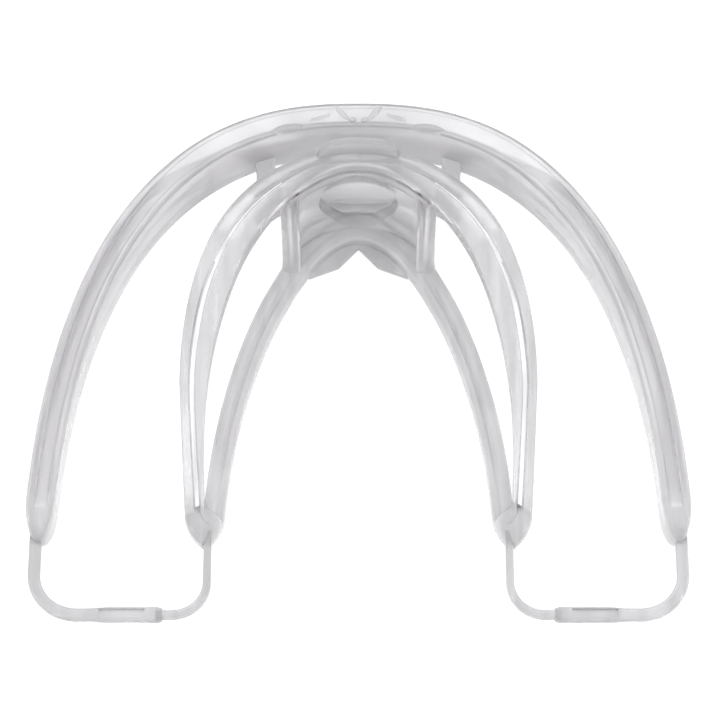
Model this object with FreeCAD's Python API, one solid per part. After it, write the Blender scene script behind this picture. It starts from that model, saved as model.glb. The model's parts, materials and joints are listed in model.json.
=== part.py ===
"""Cheek retractor with a tongue guard: a lip bow, two flexing cheek arms, a tongue guard and two side straps.

Frame: X across the mouth, +Y towards the lips, +Z up, z = 0 on the plane where the teeth bite.
Plan outlines are superellipses or straight runs; side profiles trim them to height.
"""
import FreeCAD, Part
import os
from math import acos, asin, copysign, cos, pi, radians, sin
from FreeCAD import Placement, Rotation, Vector

doc = FreeCAD.newDocument("cheek_retractor")
sheet = doc.addObject("Spreadsheet::Sheet", "Sizes")

SIZES = {
    # outer arch: lip bow and cheek arms
    "arch_half_width": 41.2,
    "arch_depth": 71.3,
    "arch_front_y": 36.3,
    "arch_fullness": 2.45,
    "arm_width": 3.6,
    "bow_width": 3.8,
    "bow_height": 7.7,
    "lip_wall": 1.2,
    "lip_flange": 1.3,
    "arm_tip_y": -25.6,
    "arm_tip_height": 5.4,
    "arm_outer_rim": 1.5,
    "arm_inner_rim": 1.1,
    "arm_web": 2.2,
    "groove_margin": 4.6,
    "flex_x": 27.0,
    "flex_radius": 2.15,
    # tongue guard
    "guard_half_width": 22.4,
    "guard_front_y": 27.6,
    "guard_widest_y": -5.0,
    "upper_rail_width": 3.2,
    "guard_inner_front_y": 25.2,
    "guard_inner_base_y": -12.0,
    "guard_tip_set_in": 1.0,
    "rail_tip_width": 2.1,
    "guard_tip_y": -22.0,
    "guard_nose": 4.0,
    "rail_depth": 2.6,
    "rail_front_top": 6.5,
    "rail_tip_top": 1.5,
    "rail_slope_y": 14.0,
    "rail_outer_rim": 1.3,
    "rail_inner_rim": 0.9,
    "rail_floor": 1.0,
    "crown_top": 9.2,
    "crown_thickness": 0.9,
    "crown_half_width": 5.3,
    "front_wall": 1.2,
    "front_wall_half_width": 14.0,
    "front_wall_drop": 7.9,
    "lower_rail_set_in": 3.0,
    "lower_front_y": 26.4,
    "lower_base_y": -25.0,
    "lower_rail_width": 2.7,
    "lower_inner_front_y": 21.9,
    "lower_front_top": -6.4,
    "lower_tip_top": -1.2,
    "lower_depth": 2.6,
    "skirt_thickness": 1.0,
    "skirt_bottom": -9.2,
    "skirt_half_width": 6.5,
    "skirt_reach": 2.5,
    "notch_half_width": 2.6,
    "strut_x": 9.1,
    "strut_width": 2.6,
    "strut_depth": 2.0,
    "plate_thickness": 1.1,
    "dish_radius": 5.1,
    "dish_rim": 0.7,
    "dish_depth": 0.1,
    "dish_floor": 0.9,
    # bite posts
    "post_x": 12.2,
    "post_width": 2.4,
    "post_top": -1.4,
    # straps
    "strap_width": 1.6,
    "tail_width": 1.0,
    "strap_height": 1.2,
    "sleeve_width": 2.2,
    "sleeve_height": 1.8,
    "strap_root_offset": 0.4,
    "strap_bend": 5.4,
    "strap_swing": 10.0,
    "tail_root_set_in": 2.9,
    "tail_bend": 4.2,
    "tail_run": 0.4,
    "tail_swing_in": 32.0,
    "tail_swing_out": 18.0,
    "sleeve_setback": 0.8,
    "sleeve_socket": 2.6,
    "root_setback": 1.9,
    "bead_radius": 1.1,
    "tail_bead_radius": 0.8,
    "strap_drop": 10.7,
    "joint_clearance": 0.05,
    "open_pivot_gap": 0.7,
}
for row, (alias, value) in enumerate(SIZES.items(), start=1):
    sheet.set(f"A{row}", alias)
    sheet.set(f"B{row}", str(value))
    sheet.setAlias(f"B{row}", alias)
doc.recompute()


def size(alias):
    """The number that the sheet holds under an alias."""
    return float(sheet.get(alias))


# ---------------------------------------------------------------- curves in plan
GUARD_FULLNESS = 2.25
GUARD_INNER_FULLNESS = 1.95
LOWER_FULLNESS = 1.85
LOWER_INNER_FULLNESS = 1.8
CURVE_POINTS = 8

BASE_Y = size("arch_front_y") - size("arch_depth")


class Edge:
    """Half a superellipse: x grows from 0 at the front to half_width at base_y."""

    def __init__(self, half_width, front_y, base_y, fullness):
        self.half_width = half_width
        self.depth = front_y - base_y
        self.base_y = base_y
        self.power = 2.0 / fullness

    def point(self, angle):
        x = self.half_width * copysign(abs(sin(angle)) ** self.power, sin(angle))
        y = self.base_y + self.depth * abs(cos(angle)) ** self.power
        return Vector(x, y, 0)

    def angle_at_x(self, x):
        return asin(min(1.0, abs(x) / self.half_width) ** (1 / self.power))

    def angle_at_y(self, y):
        share = max(0.0, min(1.0, (y - self.base_y) / self.depth))
        return acos(share ** (1 / self.power))

    def at_x(self, x):
        return self.point(self.angle_at_x(x))

    def at_y(self, y):
        return self.point(self.angle_at_y(y))

    def run(self, start, end, count=CURVE_POINTS):
        """Points from one angle to another, both ends included."""
        return [self.point(start + (end - start) * i / (count - 1)) for i in range(count)]

    def inset(self, gap):
        """The same edge moved inwards by gap."""
        front_y = self.base_y + self.depth - gap
        return Edge(self.half_width - gap, front_y, self.base_y, 2.0 / self.power)


arch_outer = Edge(size("arch_half_width"), size("arch_front_y"), BASE_Y, size("arch_fullness"))
arch_inner = Edge(
    size("arch_half_width") - size("arm_width"),
    size("arch_front_y") - size("bow_width"),
    BASE_Y,
    size("arch_fullness"),
)
guard_outer = Edge(size("guard_half_width"), size("guard_front_y"), size("guard_widest_y"), GUARD_FULLNESS)
guard_inner = Edge(
    size("guard_half_width") - size("upper_rail_width"),
    size("guard_inner_front_y"),
    size("guard_inner_base_y"),
    GUARD_INNER_FULLNESS,
)
LOWER_HALF_WIDTH = size("guard_half_width") - size("lower_rail_set_in")
lower_outer = Edge(LOWER_HALF_WIDTH, size("lower_front_y"), size("lower_base_y"), LOWER_FULLNESS)
lower_inner = Edge(
    LOWER_HALF_WIDTH - size("lower_rail_width"),
    size("lower_inner_front_y"),
    size("lower_base_y"),
    LOWER_INNER_FULLNESS,
)


# ---------------------------------------------------------------- solids
def mirrored(points, side):
    return [Vector(p.x * side, p.y, p.z) for p in points]


def curve(points):
    spline = Part.BSplineCurve()
    spline.interpolate(points)
    return spline


def add_outline(sketch, runs):
    """Close a sketch from runs of points: two points make a line and more make a smooth curve."""
    for run, following in zip(runs, runs[1:] + runs[:1]):
        if len(run) == 2:
            sketch.addGeometry(Part.LineSegment(run[0], run[1]), False)
        else:
            sketch.addGeometry(curve(run), False)
        if (run[-1] - following[0]).Length > 1e-6:
            sketch.addGeometry(Part.LineSegment(run[-1], following[0]), False)


def plan_solid(name, runs, low, high):
    """Extrude a plan outline from z = low to z = high."""
    sketch = doc.addObject("Sketcher::SketchObject", name + "_plan")
    add_outline(sketch, runs)
    sketch.Placement = Placement(Vector(0, 0, low), Rotation())
    solid = doc.addObject("Part::Extrusion", name + "_block")
    solid.Base = sketch
    solid.DirMode = "Custom"
    solid.Dir = Vector(0, 0, 1)
    solid.LengthFwd = high - low
    solid.Solid = True
    return solid


def side_solid(name, profile):
    """Extrude a (y, z) profile through the whole width."""
    reach = 2 * size("arch_half_width")
    sketch = doc.addObject("Sketcher::SketchObject", name + "_side")
    points = [Vector(y, z, 0) for y, z in profile]
    add_outline(sketch, [[a, b] for a, b in zip(points, points[1:] + points[:1])])
    sketch.Placement = Placement(Vector(-reach / 2, 0, 0), Rotation(Vector(1, 1, 1), 120))
    solid = doc.addObject("Part::Extrusion", name + "_profile")
    solid.Base = sketch
    solid.DirMode = "Custom"
    solid.Dir = Vector(1, 0, 0)
    solid.LengthFwd = reach
    solid.Solid = True
    return solid


def front_solid(name, runs):
    """Extrude an (x, z) outline through the whole depth."""
    reach = 3 * size("arch_front_y")
    sketch = doc.addObject("Sketcher::SketchObject", name + "_front")
    add_outline(sketch, runs)
    sketch.Placement = Placement(Vector(0, reach / 2, 0), Rotation(Vector(1, 0, 0), 90))
    solid = doc.addObject("Part::Extrusion", name + "_elevation")
    solid.Base = sketch
    solid.DirMode = "Custom"
    solid.Dir = Vector(0, -1, 0)
    solid.LengthFwd = reach
    solid.Solid = True
    return solid


def cylinder(name, radius, length, centre, axis=Vector(0, 0, 1)):
    """A cylinder that starts at centre and runs along axis."""
    solid = doc.addObject("Part::Cylinder", name)
    solid.Radius = radius
    solid.Height = length
    solid.Placement = Placement(centre, Rotation(Vector(0, 0, 1), axis))
    return solid


def common(name, *solids):
    result = doc.addObject("Part::MultiCommon", name)
    result.Shapes = list(solids)
    return result


def fuse(name, *solids):
    result = doc.addObject("Part::MultiFuse", name)
    result.Shapes = list(solids)
    result.Refine = True
    return result


def cut(name, base, tool):
    result = doc.addObject("Part::Cut", name)
    result.Base = base
    result.Tool = tool
    return result


nodes = {}


def keep(name, solid):
    solid.Label = name
    nodes[name] = solid


HALF_BOW = size("bow_height") / 2
HIGH = size("crown_top") + 2
REACH_Y = size("arch_front_y") + 2


# ---------------------------------------------------------------- flex joints
def flex_centre(side):
    """The upright axis about which a cheek arm bends, on the middle of the arch."""
    outer = arch_outer.at_x(size("flex_x"))
    angle = arch_outer.angle_at_x(size("flex_x"))
    inner = arch_inner.point(angle)
    middle = (outer + inner) * 0.5
    return Vector(middle.x * side, middle.y, 0)


def flex_heading():
    """Unit vector along the right arm where it leaves the flex axis."""
    angle = arch_outer.angle_at_x(size("flex_x"))
    step = radians(1)
    ahead = arch_outer.point(angle + step) + arch_inner.point(angle + step)
    behind = arch_outer.point(angle - step) + arch_inner.point(angle - step)
    return (ahead - behind).normalize()


HEADING = flex_heading()
FLEX = flex_centre(1)
SOCKET_RADIUS = size("flex_radius") + size("joint_clearance")
BOW_SETBACK = size("flex_radius") * 0.45


def across_flex(distance, half_length):
    """A line square to the arm at a distance along it from the flex axis, from outside to inside."""
    outwards = Vector(-HEADING.y, HEADING.x, 0)
    middle = FLEX + HEADING * distance
    return middle + outwards * half_length, middle - outwards * half_length


def beyond_flex(name, side, distance):
    """A block that covers everything past the flex axis on the arm's side."""
    outer, inner = across_flex(distance, REACH_Y)
    far_outer = outer + HEADING * 3 * REACH_Y
    far_inner = inner + HEADING * 3 * REACH_Y
    corners = mirrored([outer, inner, far_inner, far_outer], side)
    runs = [[a, b] for a, b in zip(corners, corners[1:] + corners[:1])]
    return plan_solid(name, runs, -HIGH, HIGH)


# ---------------------------------------------------------------- lip bow
def bow_part(name, outside, inside, low, high):
    """A stretch of the bow between the two flex sockets."""
    limit = arch_outer.angle_at_x(size("flex_x") + size("arm_width"))
    runs = [
        outside.run(-limit, limit, 2 * CURVE_POINTS + 1),
        inside.run(limit, -limit, 2 * CURVE_POINTS + 1),
    ]
    solid = plan_solid(name + "_arc", runs, low, high)
    for side, word in ((-1, "left"), (1, "right")):
        solid = cut(f"{name}_{word}_end", solid, beyond_flex(f"{name}_{word}_limit", side, -BOW_SETBACK))
        socket = cylinder(
            f"{name}_{word}_socket", SOCKET_RADIUS, 2 * HIGH, flex_centre(side) - Vector(0, 0, HIGH)
        )
        solid = cut(f"{name}_{word}_seat", solid, socket)
    keep(name, solid)


flange_line = arch_outer.inset(size("bow_width") - size("lip_wall"))
bow_part("lip_bow", flange_line, arch_inner, -HALF_BOW, HALF_BOW)
bow_part("upper_lip_flange", arch_outer, flange_line, HALF_BOW - size("lip_flange"), HALF_BOW)
bow_part("lower_lip_flange", arch_outer, flange_line, -HALF_BOW, size("lip_flange") - HALF_BOW)


# ---------------------------------------------------------------- tongue guard
RAIL_UNDERSIDE = size("rail_front_top") - size("rail_depth")
RAIL_TIP_UNDERSIDE = size("rail_tip_top") - size("rail_depth")
STRUT_X = size("strut_x")
TIP_Y = size("guard_tip_y")
TIP_OUTER_X = size("guard_half_width") - size("guard_tip_set_in")
SLOPE_Y = size("rail_slope_y")


def sloped_profile(front_low, front_high, tip_low, tip_high):
    """A side profile that is level at the front and slopes to the guard's tips."""
    return [
        (REACH_Y, front_low),
        (REACH_Y, front_high),
        (SLOPE_Y, front_high),
        (TIP_Y, tip_high),
        (TIP_Y, tip_low),
        (SLOPE_Y, front_low),
    ]


def arc_between(outside, inside, x_limit):
    """A plan ring segment between two edges, cut off at x = -x_limit and x = x_limit."""
    out = outside.angle_at_x(x_limit)
    inn = inside.angle_at_x(x_limit)
    return [
        outside.run(-out, out, 2 * CURVE_POINTS - 1),
        inside.run(inn, -inn, 2 * CURVE_POINTS - 1),
    ]


def guard_crown():
    """The front of the upper rail, with an arched tab that stands on its outer edge."""
    foot = size("rail_front_top")
    limit = size("crown_half_width")
    plan = plan_solid("guard_crown", arc_between(guard_outer, guard_inner, STRUT_X), 0, HIGH)
    arch = [Vector(-limit, foot, 0), Vector(0, size("crown_top"), 0), Vector(limit, foot, 0)]
    corners = [(limit, foot), (STRUT_X, foot), (STRUT_X, RAIL_UNDERSIDE), (-STRUT_X, RAIL_UNDERSIDE)]
    corners += [(-STRUT_X, foot), (-limit, foot)]
    points = [Vector(x, z, 0) for x, z in corners]
    outline = [arch] + [[a, b] for a, b in zip(points, points[1:])]
    solid = common("guard_crown_arch", plan, front_solid("guard_crown", outline))
    tab_back = guard_outer.inset(size("crown_thickness"))
    angle = tab_back.angle_at_x(STRUT_X)
    arc = tab_back.run(-angle, angle, 2 * CURVE_POINTS - 1)
    points = [arc[-1], Vector(STRUT_X, 0, 0), Vector(-STRUT_X, 0, 0), arc[0]]
    runs = [arc] + [[a, b] for a, b in zip(points, points[1:])]
    behind = plan_solid("guard_crown_behind", runs, foot, HIGH)
    keep("guard_crown", cut("guard_crown_solid", solid, behind))


def guard_front_wall():
    inside = guard_outer.inset(size("front_wall"))
    runs = arc_between(guard_outer, inside, size("front_wall_half_width"))
    low = RAIL_UNDERSIDE - size("front_wall_drop")
    keep("guard_front_wall", plan_solid("guard_front_wall", runs, low, RAIL_UNDERSIDE))


def upper_rail(side, word):
    name = f"{word}_upper_rail"
    quarter = pi / 2
    outer_tip = Vector(TIP_OUTER_X, TIP_Y, 0)
    inner_tip = Vector(outer_tip.x - size("rail_tip_width"), TIP_Y, 0)
    outside = guard_outer.run(guard_outer.angle_at_x(STRUT_X), quarter)
    inside = guard_inner.run(quarter, guard_inner.angle_at_x(STRUT_X))
    runs = [outside, [outside[-1], outer_tip], [outer_tip, inner_tip], [inner_tip, inside[0]], inside]
    plan = plan_solid(name, [mirrored(run, side) for run in runs], -HIGH, HIGH)
    profile = sloped_profile(RAIL_UNDERSIDE, size("rail_front_top"), RAIL_TIP_UNDERSIDE, size("rail_tip_top"))
    rail = common(name + "_solid", plan, side_solid(name, profile))
    groove_outer = guard_outer.inset(size("rail_outer_rim"))
    groove_inner = guard_inner.inset(-size("rail_inner_rim"))
    start_x = STRUT_X + size("strut_width")
    outside = groove_outer.run(groove_outer.angle_at_x(start_x), quarter)
    inside = groove_inner.run(quarter, groove_inner.angle_at_x(start_x))
    apex = Vector((outer_tip.x + inner_tip.x) / 2, TIP_Y + size("rail_outer_rim"), 0)
    runs = [outside, [outside[-1], apex], [apex, inside[0]], inside]
    plan = plan_solid(name + "_groove", [mirrored(run, side) for run in runs], -HIGH, HIGH)
    floor = RAIL_UNDERSIDE + size("rail_floor")
    tip_floor = RAIL_TIP_UNDERSIDE + size("rail_floor")
    profile = sloped_profile(floor, HIGH, tip_floor, HIGH)
    groove = common(name + "_groove_solid", plan, side_solid(name + "_groove", profile))
    keep(name, cut(name, rail, groove))


def lower_rail(side, word):
    name = f"{word}_lower_rail"
    outside = lower_outer.run(lower_outer.angle_at_x(STRUT_X), lower_outer.angle_at_y(TIP_Y))
    inside = lower_inner.run(lower_inner.angle_at_y(TIP_Y), lower_inner.angle_at_x(STRUT_X))
    plan = plan_solid(name, [mirrored(run, side) for run in (outside, inside)], -HIGH, HIGH)
    front = size("lower_front_top")
    tip = size("lower_tip_top")
    depth = size("lower_depth")
    profile = sloped_profile(front - depth, front, tip - depth, tip)
    keep(name, common(name, plan, side_solid(name, profile)))


plate_back = guard_inner.inset(-size("plate_thickness"))


def lower_band():
    runs = arc_between(plate_back, lower_inner, STRUT_X)
    top = size("lower_front_top")
    keep("guard_lower_band", plan_solid("guard_lower_band", runs, top - size("lower_depth"), top))


def frenum_skirt():
    """A thin shelf inside the lower front of the guard, with a V notch for the tongue's frenum."""
    limit = size("skirt_half_width")
    angle = lower_inner.angle_at_x(limit)
    arc = lower_inner.run(-angle, angle, 2 * CURVE_POINTS - 1)
    apex = Vector(0, lower_inner.at_x(0).y - size("skirt_thickness") / 2, 0)
    corner = lower_inner.at_x(size("notch_half_width")) - Vector(0, size("skirt_reach"), 0)
    points = [arc[-1], corner, apex, mirrored([corner], -1)[0], arc[0]]
    runs = [arc] + [[a, b] for a, b in zip(points, points[1:])]
    low = size("skirt_bottom")
    keep("frenum_skirt", plan_solid("frenum_skirt", runs, low, low + size("skirt_thickness")))


def strut(side, word):
    name = f"{word}_plate_strut"
    half = size("strut_width") / 2
    depth = size("strut_depth")
    top_y = guard_inner.at_x(STRUT_X).y
    foot_y = lower_outer.at_x(STRUT_X).y - depth
    corners = [(STRUT_X - half, -REACH_Y), (STRUT_X + half, -REACH_Y)]
    corners += [(STRUT_X + half, REACH_Y), (STRUT_X - half, REACH_Y)]
    points = mirrored([Vector(x, y, 0) for x, y in corners], side)
    runs = [[a, b] for a, b in zip(points, points[1:] + points[:1])]
    foot = size("lower_front_top")
    plan = plan_solid(name, runs, foot, RAIL_UNDERSIDE)
    profile = [(foot_y, foot), (foot_y + depth, foot)]
    profile += [(top_y + depth, RAIL_UNDERSIDE), (top_y, RAIL_UNDERSIDE)]
    keep(name, common(name, plan, side_solid(name, profile)))


def tongue_plate():
    """The curved plate between the struts, with a flat round dish sunk in its tongue side."""
    limit = STRUT_X - size("strut_width") / 2
    runs = arc_between(plate_back, guard_inner, limit)
    plate = plan_solid("tongue_plate_arc", runs, size("lower_front_top"), RAIL_UNDERSIDE)
    towards_tongue = Vector(0, -1, 0)
    floor_y = size("guard_inner_front_y") + size("dish_depth")
    middle_z = (size("lower_front_top") + RAIL_UNDERSIDE) / 2
    back = Vector(0, floor_y + size("dish_floor"), middle_z)
    floor = Vector(0, floor_y, middle_z)
    boss_radius = min(size("dish_radius") + size("dish_rim"), RAIL_UNDERSIDE - middle_z)
    disc = cylinder("tongue_dish", boss_radius, size("dish_floor"), back, towards_tongue)
    recess = cylinder("tongue_dish_recess", size("dish_radius"), REACH_Y, floor, towards_tongue)
    plate = cut("tongue_plate_dished", fuse("tongue_plate_with_dish", plate, disc), recess)
    plate = cut("tongue_plate_behind", plate, nodes["guard_front_wall"])
    for side, word in ((-1, "left"), (1, "right")):
        plate = cut(f"tongue_plate_{word}_trim", plate, nodes[f"{word}_plate_strut"])
    keep("tongue_plate", plate)


def bite_post(side, word):
    """A square bar from the bow to the guard's front wall, which the teeth close on."""
    name = f"{word}_bite_post"
    half = size("post_width") / 2
    wall_middle = guard_outer.inset(size("front_wall") / 2)
    bow_middle = arch_inner.inset(-size("lip_wall") / 2)
    near = size("post_x") - half
    far = size("post_x") + half
    corners = [wall_middle.at_x(near), wall_middle.at_x(far), bow_middle.at_x(far), bow_middle.at_x(near)]
    corners = mirrored(corners, side)
    runs = [[a, b] for a, b in zip(corners, corners[1:] + corners[:1])]
    bar = plan_solid(name, runs, -HALF_BOW, size("post_top"))
    bar = cut(name + "_bow_trim", bar, nodes["lip_bow"])
    keep(name, cut(name, bar, nodes["guard_front_wall"]))


# ---------------------------------------------------------------- straps
STRAP_HALF = size("strap_height") / 2
POCKET_HALF = STRAP_HALF + size("joint_clearance")
BACK_Y = size("arm_tip_y") - size("strap_drop") + size("sleeve_width") / 2
STRAP_ROOT_Y = size("arm_tip_y") + size("root_setback")
ARM_MIDDLE_X = (arch_outer.at_y(STRAP_ROOT_Y).x + arch_inner.at_y(STRAP_ROOT_Y).x) / 2
STRAP_ROOT_X = ARM_MIDDLE_X + size("strap_root_offset")
TAIL_ROOT_X = TIP_OUTER_X - size("tail_root_set_in")
SLEEVE_START = STRAP_ROOT_X - size("strap_bend") - size("sleeve_setback")
SLEEVE_END = TAIL_ROOT_X + size("tail_bend") + size("tail_run") + size("open_pivot_gap")


def strap_root(side):
    return Vector(side * STRAP_ROOT_X, STRAP_ROOT_Y, 0)


def tail_root(side):
    return Vector(side * TAIL_ROOT_X, TIP_Y - size("guard_nose") + size("root_setback"), 0)


def ribbon(name, side, root, bend, end_x, width, height):
    """A flat strap: straight back from its root, round a quarter bend, then across to end_x."""
    towards = copysign(1, end_x - abs(root.x))
    centre = Vector(abs(root.x) + towards * bend, BACK_Y + bend, 0)
    half = width / 2

    def at(radius, angle):
        return Vector(centre.x - towards * radius * cos(angle), centre.y - radius * sin(angle), 0)

    def lane(radius):
        start = Vector(centre.x - towards * radius, root.y, 0)
        finish = Vector(end_x, centre.y - radius, 0)
        return start, at(radius, 0), at(radius, pi / 4), at(radius, pi / 2), finish

    sketch = doc.addObject("Sketcher::SketchObject", name + "_plan")
    ends = []
    for radius in (bend + half, bend - half):
        start, first, middle, last, finish = mirrored(lane(radius), side)
        sketch.addGeometry(Part.LineSegment(start, first), False)
        sketch.addGeometry(Part.Arc(first, middle, last), False)
        sketch.addGeometry(Part.LineSegment(last, finish), False)
        ends.append((start, finish))
    sketch.addGeometry(Part.LineSegment(ends[0][0], ends[1][0]), False)
    sketch.addGeometry(Part.LineSegment(ends[0][1], ends[1][1]), False)
    sketch.Placement = Placement(Vector(0, 0, -height / 2), Rotation())
    solid = doc.addObject("Part::Extrusion", name + "_ribbon")
    solid.Base = sketch
    solid.DirMode = "Custom"
    solid.Dir = Vector(0, 0, 1)
    solid.LengthFwd = height
    solid.Solid = True
    return solid


def bead(name, radius, root):
    return cylinder(name + "_bead", radius, 2 * STRAP_HALF, root - Vector(0, 0, STRAP_HALF))


def bead_pocket(name, side, root, radius, width, swing):
    """A round pocket for a bead, and the mouth that lets its strap swing by so many degrees each way."""
    low = root - Vector(0, 0, POCKET_HALF)
    pocket = cylinder(name + "_pocket", radius + size("joint_clearance"), 2 * POCKET_HALF, low)
    reach = 2 * size("root_setback") + size("guard_nose")
    half = width / 2 + 2 * size("joint_clearance")
    spread = reach * sin(radians(swing[0])), reach * sin(radians(swing[1]))
    corners = [
        root + Vector(side * half, 0, 0),
        root + Vector(side * (half + spread[1]), -reach, 0),
        root + Vector(-side * (half + spread[0]), -reach, 0),
        root + Vector(-side * half, 0, 0),
    ]
    runs = [[a, b] for a, b in zip(corners, corners[1:] + corners[:1])]
    mouth = plan_solid(name + "_mouth", runs, -POCKET_HALF, POCKET_HALF)
    return fuse(name + "_socket", pocket, mouth)


def outer_strap(side, word):
    name = f"{word}_strap"
    root = strap_root(side)
    end_x = SLEEVE_END + size("sleeve_socket")
    band = ribbon(name, side, root, size("strap_bend"), end_x, size("strap_width"), size("strap_height"))
    keep(name, fuse(name, band, bead(name, size("bead_radius"), root)))


def sleeve(side, word):
    """The lap sleeve that grips the outer strap's end."""
    name = f"{word}_strap_sleeve"
    block = doc.addObject("Part::Box", name + "_block")
    block.Length = SLEEVE_START - SLEEVE_END
    block.Width = size("sleeve_width")
    block.Height = size("sleeve_height")
    low_x = SLEEVE_END if side > 0 else -SLEEVE_START
    low_y = BACK_Y - size("sleeve_width") / 2
    block.Placement = Placement(Vector(low_x, low_y, -size("sleeve_height") / 2), Rotation())
    bore = doc.addObject("Part::Box", name + "_bore")
    bore.Length = 2 * (SLEEVE_START - SLEEVE_END)
    bore.Width = size("strap_width")
    bore.Height = size("strap_height")
    start_x = low_x - (SLEEVE_START - SLEEVE_END) / 2
    bore.Placement = Placement(Vector(start_x, BACK_Y - size("strap_width") / 2, -STRAP_HALF), Rotation())
    keep(name, cut(name, block, bore))


def tail(side, word):
    name = f"{word}_strap_tail"
    root = tail_root(side)
    end_x = SLEEVE_END - size("open_pivot_gap")
    band = ribbon(name, side, root, size("tail_bend"), end_x, size("tail_width"), size("strap_height"))
    keep(name, fuse(name, band, bead(name, size("tail_bead_radius"), root)))


def guard_tip(side, word):
    """The rounded nose where the two rails meet, with the socket of the strap's tail."""
    name = f"{word}_guard_tip"
    nose_y = TIP_Y - size("guard_nose")
    outer_x = TIP_OUTER_X
    inner_x = lower_inner.at_y(TIP_Y).x
    nose_x = TAIL_ROOT_X
    middle_y = TIP_Y - size("guard_nose") * 0.6
    slant = (outer_x - inner_x) * 0.12
    outline = [
        [Vector(inner_x, TIP_Y, 0), Vector(outer_x, TIP_Y, 0)],
        [
            Vector(outer_x, TIP_Y, 0),
            Vector(outer_x - slant, middle_y, 0),
            Vector(nose_x, nose_y, 0),
            Vector(inner_x + slant, middle_y, 0),
            Vector(inner_x, TIP_Y, 0),
        ],
    ]
    low = size("lower_tip_top") - size("lower_depth")
    block = plan_solid(name, [mirrored(run, side) for run in outline], low, size("rail_tip_top"))
    swing = (size("tail_swing_in"), size("tail_swing_out"))
    radius = size("tail_bead_radius")
    keep(name, cut(name, block, bead_pocket(name, side, tail_root(side), radius, size("tail_width"), swing)))


# ---------------------------------------------------------------- cheek arms
def cheek_arm(side, word):
    """An arm of H section, from the round root on the flex axis to the rounded tip behind the molars."""
    name = f"{word}_cheek_arm"
    tip_y = size("arm_tip_y")
    start = arch_outer.angle_at_x(size("flex_x"))
    shoulder_y = tip_y + size("arm_width") / 2
    outside = arch_outer.run(start, arch_outer.angle_at_y(shoulder_y))
    inside = arch_inner.run(arch_inner.angle_at_y(shoulder_y), start)
    nose = Vector((outside[-1].x + inside[0].x) / 2, tip_y, 0)
    tip = [outside[-1], nose, inside[0]]
    blank = plan_solid(name, [mirrored(run, side) for run in (outside, tip, inside)], -HIGH, HIGH)
    tip_half = size("arm_tip_height") / 2
    root_y = FLEX.y + size("flex_radius") * 2
    profile = [(root_y, -HALF_BOW), (root_y, HALF_BOW), (FLEX.y, HALF_BOW), (tip_y, tip_half)]
    profile += [(tip_y, -tip_half), (FLEX.y, -HALF_BOW)]
    blank = common(name + "_bar", blank, side_solid(name, profile))
    blank = common(name + "_past_flex", blank, beyond_flex(name + "_limit", side, 0))
    root = cylinder(
        name + "_root", size("flex_radius"), 2 * HALF_BOW, flex_centre(side) - Vector(0, 0, HALF_BOW)
    )
    arm = fuse(name + "_rooted", blank, root)
    groove_outer = arch_outer.inset(size("arm_outer_rim"))
    groove_inner = arch_inner.inset(-size("arm_inner_rim"))
    first_y = FLEX.y - size("groove_margin")
    last_y = tip_y + size("groove_margin")
    runs = [
        groove_outer.run(groove_outer.angle_at_y(first_y), groove_outer.angle_at_y(last_y)),
        groove_inner.run(groove_inner.angle_at_y(last_y), groove_inner.angle_at_y(first_y)),
    ]
    runs = [mirrored(run, side) for run in runs]
    web = size("arm_web") / 2
    arm = cut(name + "_upper", arm, plan_solid(name + "_upper_groove", runs, web, HIGH))
    arm = cut(name + "_lower", arm, plan_solid(name + "_lower_groove", runs, -HIGH, -web))
    swing = (size("strap_swing"), size("strap_swing"))
    radius = size("bead_radius")
    keep(name, cut(name, arm, bead_pocket(name, side, strap_root(side), radius, size("strap_width"), swing)))


guard_crown()
guard_front_wall()
lower_band()
frenum_skirt()
for side, word in ((-1, "left"), (1, "right")):
    upper_rail(side, word)
    lower_rail(side, word)
    strut(side, word)
    bite_post(side, word)
    guard_tip(side, word)
    cheek_arm(side, word)
    outer_strap(side, word)
    sleeve(side, word)
    tail(side, word)
tongue_plate()
doc.recompute()

failed = [o.Name for o in doc.Objects if "Invalid" in o.State or "Error" in o.State]
if failed:
    raise RuntimeError(f"these objects did not build: {failed}")
for name, solid in nodes.items():
    if solid.Shape.isNull() or not solid.Shape.isValid() or not solid.Shape.Solids:
        raise RuntimeError(f"{name} has no valid solid")

os.makedirs("parts", exist_ok=True)
for name, solid in nodes.items():
    solid.Shape.exportStep(f"parts/{name}.step")
    box = solid.Shape.BoundBox
    print(f"{name}: {len(solid.Shape.Solids)} solid, {solid.Shape.Volume:.1f} mm3,",
          f"z {box.ZMin:.2f} to {box.ZMax:.2f}")
print("flex axis", FLEX, "strap root", strap_root(1), "tail root", tail_root(1))
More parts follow.
